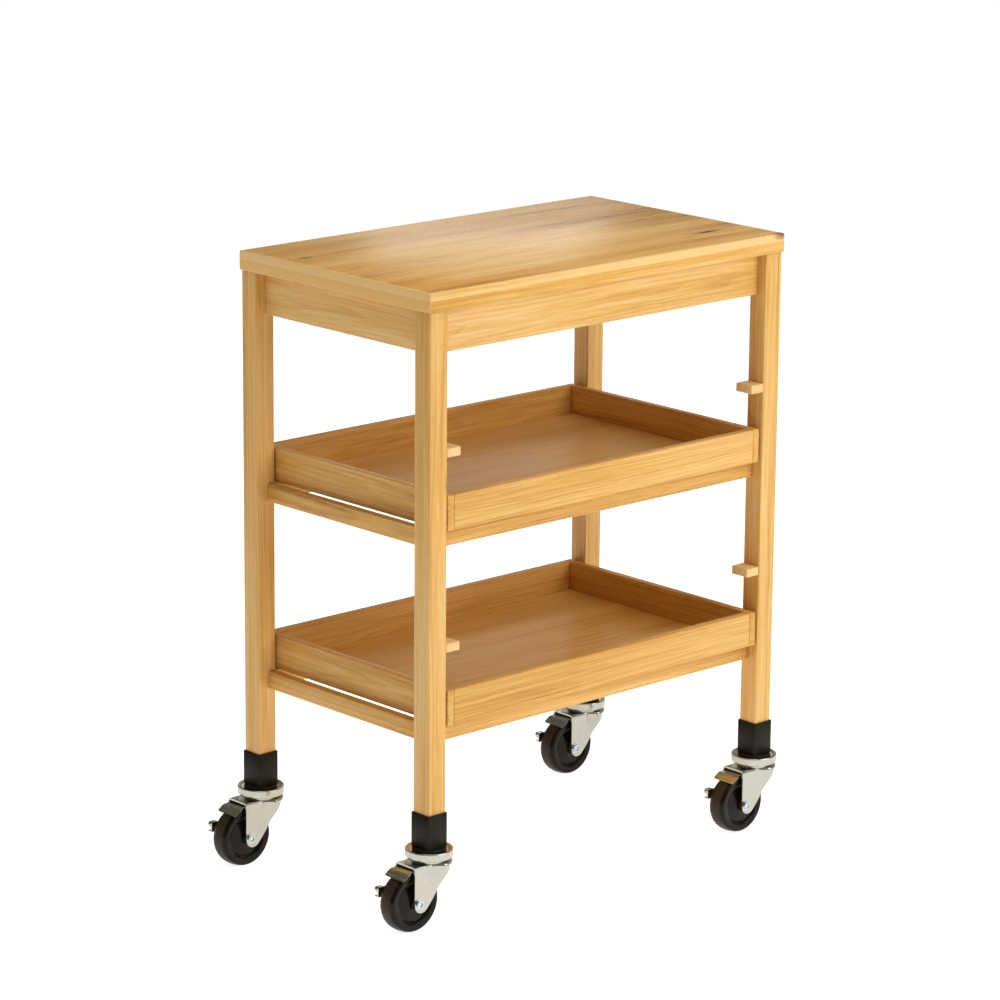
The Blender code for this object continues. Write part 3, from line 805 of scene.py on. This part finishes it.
def make_casters():
    steel = zinc("zinc_plate", (0.43, 0.43, 0.385), 0.11)
    bright = zinc("bright_zinc", (0.55, 0.62, 0.70), 0.12)
    coat, rubber, plastic = black_coat(), wheel_rubber(), pad_plastic()
    for corner in CORNERS:
        swivel = JOINTS[f"swivel_{corner}"]["pos_m"]
        at = Vector((swivel[0], swivel[1], 0.0))
        axle = Vector(JOINTS[f"wheel_spin_{corner}"]["pos_m"])
        make_sleeve(corner, at, coat)
        make_upper_race(corner, at, steel)
        make_fork(corner, at, steel)
        make_wheel(corner, axle, rubber)
        make_bolt(corner, axle, bright)
        make_shoe(corner, axle, steel)
        make_lever(corner, at, steel, plastic)


# ---------------------------------------------------------------- stage, light and camera
FLOOR_SIZE = 150.0
FLOOR_GLOW, FLOOR_GLOW_COLOUR = 0.88, (0.985, 0.985, 1.0, 1.0)
WORLD_LEFT, WORLD_RIGHT = (0.16, 0.145, 0.115, 1.0), (0.42, 0.385, 0.325, 1.0)

CART_MIDDLE = (0.0, 0.0, 0.45)
WORKTOP_BACK = (-0.2, -0.15, 0.914)
# name: place, target, size, watts, colour
LIGHTS = {
    "key": ((1.1, -3.2, 2.0), CART_MIDDLE, (2.4, 2.0), 68.0, (1.0, 0.99, 0.97)),
    "above": ((-0.3, -0.3, 3.3), CART_MIDDLE, (2.0, 2.0), 46.0, (1.0, 0.97, 0.90)),
    "back": ((2.75, 3.1, 1.8), WORKTOP_BACK, (0.8, 1.3), 4.0, (1.0, 0.97, 0.90)),
    "left": ((-3.4, 0.4, 1.6), CART_MIDDLE, (1.8, 1.8), 1.0, (1.0, 0.90, 0.74)),
}

CAMERA_AZIMUTH, CAMERA_ELEVATION, CAMERA_ROLL = -42.73, 14.36, 0.51
CAMERA_TARGET = (-0.0029, 0.0, 0.5328)
CAMERA_DISTANCE = 5.9552
SENSOR = 36.0
LENS = 4.06765 * SENSOR


def make_floor():
    bm = bmesh.new()
    bmesh.ops.create_grid(bm, x_segments=1, y_segments=1, size=FLOOR_SIZE)
    mesh = bpy.data.meshes.new("floor")
    bm.to_mesh(mesh)
    bm.free()
    t = Tree("studio_floor")
    cloud = t.noise(t.object_place(), 1.2, 2.0)
    colour = t.ramp(cloud, ((0.3, (0.80, 0.80, 0.80)), (0.7, (0.82, 0.82, 0.82))))
    t.surface(base_color=colour, roughness=0.9)
    t.surface(emission_color=FLOOR_GLOW_COLOUR, emission_strength=FLOOR_GLOW)
    mesh.materials.append(t.material)
    floor = bpy.data.objects.new("floor", mesh)
    bpy.context.scene.collection.objects.link(floor)


def make_world():
    """A dim warm room, brighter towards +X."""
    world = bpy.data.worlds.new("studio")
    bpy.context.scene.world = world
    world.use_nodes = True
    nodes, links = world.node_tree.nodes, world.node_tree.links
    place = nodes.new("ShaderNodeTexCoord")
    split = nodes.new("ShaderNodeSeparateXYZ")
    ramp = nodes.new("ShaderNodeValToRGB")
    links.new(place.outputs["Generated"], split.inputs[0])
    links.new(split.outputs["X"], ramp.inputs["Fac"])
    links.new(ramp.outputs["Color"], nodes["Background"].inputs["Color"])
    ramp.color_ramp.elements[0].color = WORLD_LEFT
    ramp.color_ramp.elements[1].color = WORLD_RIGHT
    nodes["Background"].inputs["Strength"].default_value = 1.0


def make_lights():
    for name, (place, target, size, power, colour) in LIGHTS.items():
        light = bpy.data.lights.new(name, "AREA")
        light.shape = "RECTANGLE"
        light.size, light.size_y = size
        light.energy = power
        light.color = colour
        obj = bpy.data.objects.new(name, light)
        bpy.context.scene.collection.objects.link(obj)
        obj.location = place
        obj.rotation_mode = "QUATERNION"
        obj.rotation_quaternion = (Vector(place) - Vector(target)).to_track_quat("Z", "Y")


def make_camera():
    azimuth, elevation, roll = (math.radians(a) for a in (CAMERA_AZIMUTH, CAMERA_ELEVATION, CAMERA_ROLL))
    back = Vector((math.sin(azimuth) * math.cos(elevation), -math.cos(azimuth) * math.cos(elevation),
                   math.sin(elevation)))
    forward = -back
    right = forward.cross(Vector((0, 0, 1))).normalized()
    up = right.cross(forward)
    side = right * math.cos(roll) + up * math.sin(roll)
    over = up * math.cos(roll) - right * math.sin(roll)
    data = bpy.data.cameras.new("camera")
    data.sensor_width = SENSOR
    data.lens = LENS
    data.clip_start, data.clip_end = 0.1, 400.0
    camera = bpy.data.objects.new("camera", data)
    bpy.context.scene.collection.objects.link(camera)
    turn = Matrix((side, over, back)).transposed().to_4x4()
    camera.matrix_world = Matrix.Translation(Vector(CAMERA_TARGET) + back * CAMERA_DISTANCE) @ turn
    bpy.context.scene.camera = camera
    bpy.context.scene.view_settings.view_transform = "Standard"


make_boards()
make_casters()
make_floor()
make_world()
make_lights()
make_camera()
